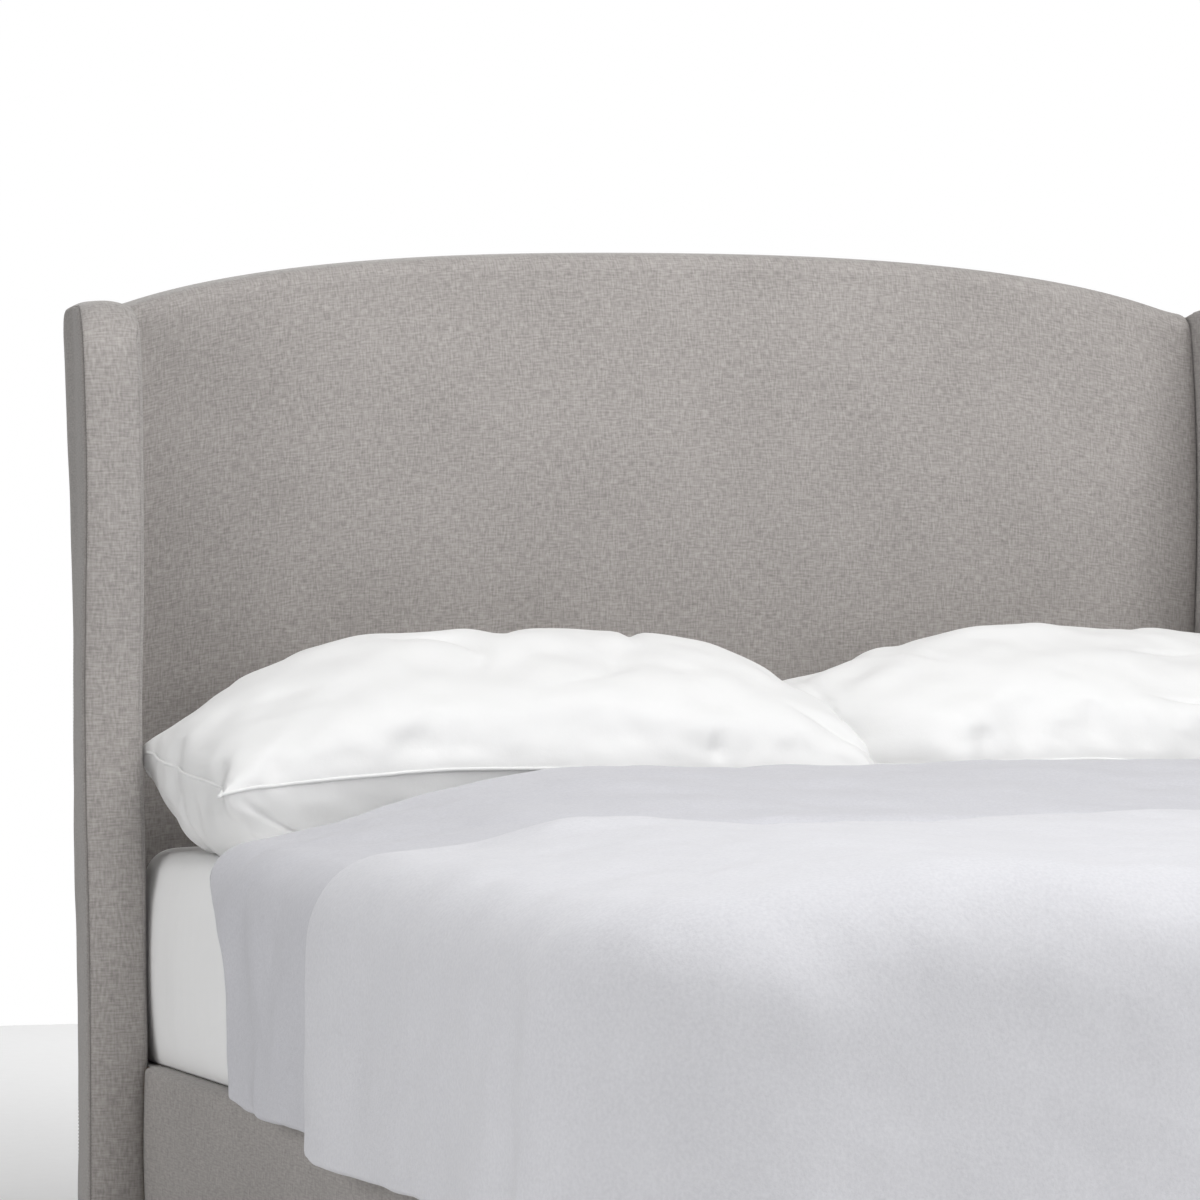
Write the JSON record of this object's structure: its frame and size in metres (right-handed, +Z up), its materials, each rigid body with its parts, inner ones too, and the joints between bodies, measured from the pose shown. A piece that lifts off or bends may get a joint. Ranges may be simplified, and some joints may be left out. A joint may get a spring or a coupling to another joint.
{
  "type": "sleigh bed",
  "caption": "Upholstered king-size sleigh-profile bed: tall arched headboard between curved padded wings, low rails, slatted base, made up with mattress, pillows and covers",
  "frame": {"origin": "bottom centre of the whole bed, on the floor", "axes": "+X right-hand side as seen from the foot, +Y from the foot to the headboard, +Z up"},
  "size_m": [1.7034, 2.2474, 1.33],
  "materials": {
    "upholstery_fabric": "warm light-grey melange woven upholstery fabric",
    "foam": "cut upholstery foam",
    "wadding": "polyester wadding",
    "plywood": "raw birch plywood",
    "frame_timber": "planed pine, unfinished",
    "slat_pine": "planed pine slat",
    "leg_wood": "dark walnut stain, satin lacquer",
    "zinc_steel": "bright zinc plate",
    "black_steel": "black powder coat",
    "mattress_ticking": "quilted white mattress ticking",
    "sheet_cotton": "white cotton percale",
    "pillow_cotton": "white washed cotton",
    "duvet_linen": "pale lilac-grey washed linen"
  },
  "bodies": {
    "bed_frame": {"headboard_post_left": "frame_timber", "headboard_post_right": "frame_timber", "headboard_top_rail": "frame_timber", "headboard_mid_rail": "frame_timber", "headboard_bottom_rail": "frame_timber", "headboard_front_board": "plywood", "headboard_foam": "foam", "headboard_front_cover": "upholstery_fabric", "headboard_back_cover": "upholstery_fabric", "wing_core_left": "plywood", "wing_foam_left": "foam", "wing_inner_cover_left": "upholstery_fabric", "wing_outer_cover_left": "upholstery_fabric", "wing_border_band_left": "upholstery_fabric", "wing_piping_left": "upholstery_fabric", "wing_core_right": "plywood", "wing_foam_right": "foam", "wing_inner_cover_right": "upholstery_fabric", "wing_outer_cover_right": "upholstery_fabric", "wing_border_band_right": "upholstery_fabric", "wing_piping_right": "upholstery_fabric", "side_rail_left": "frame_timber", "rail_padding_left": "wadding", "rail_cover_left": "upholstery_fabric", "side_rail_right": "frame_timber", "rail_padding_right": "wadding", "rail_cover_right": "upholstery_fabric", "slat_ledgers": "frame_timber", "foot_rail": "frame_timber", "foot_rail_padding": "wadding", "foot_rail_cover": "upholstery_fabric", "leg_head_left": "leg_wood", "leg_head_right": "leg_wood", "leg_foot_left": "leg_wood", "leg_foot_right": "leg_wood", "leg_bolts": "zinc_steel", "corner_brackets": "black_steel", "bracket_bolts": "zinc_steel", "wing_bolts": "zinc_steel", "centre_rail": "frame_timber", "centre_legs": "black_steel", "centre_hangers": "black_steel", "slat_screws": "zinc_steel", "slat_01": "slat_pine", "slat_02": "slat_pine", "slat_03": "slat_pine", "slat_04": "slat_pine", "slat_05": "slat_pine", "slat_06": "slat_pine", "slat_07": "slat_pine", "slat_08": "slat_pine", "slat_09": "slat_pine", "slat_10": "slat_pine", "slat_11": "slat_pine"},
    "mattress": {"mattress": "mattress_ticking", "fitted_sheet": "sheet_cotton"},
    "pillow_left": {"pillow_left": "pillow_cotton"},
    "pillow_right": {"pillow_right": "pillow_cotton"},
    "duvet": {"duvet": "duvet_linen"},
    "quilt": {"quilt": "duvet_linen"}
  },
  "joints": [
    {"name": "mattress_lift", "type": "slide", "parent": "bed_frame", "child": "mattress", "axis": [0, 0, 1], "range_m": [0, 0.45]},
    {"name": "pillow_left_lift", "type": "slide", "parent": "mattress", "child": "pillow_left", "axis": [0, 0, 1], "range_m": [0, 0.35]},
    {"name": "pillow_right_lift", "type": "slide", "parent": "mattress", "child": "pillow_right", "axis": [0, 0, 1], "range_m": [0, 0.35]},
    {"name": "duvet_lift", "type": "slide", "parent": "mattress", "child": "duvet", "axis": [0, 0, 1], "range_m": [0, 0.35]},
    {"name": "quilt_lift", "type": "slide", "parent": "duvet", "child": "quilt", "axis": [0, 0, 1], "range_m": [0, 0.3]}
  ]
}
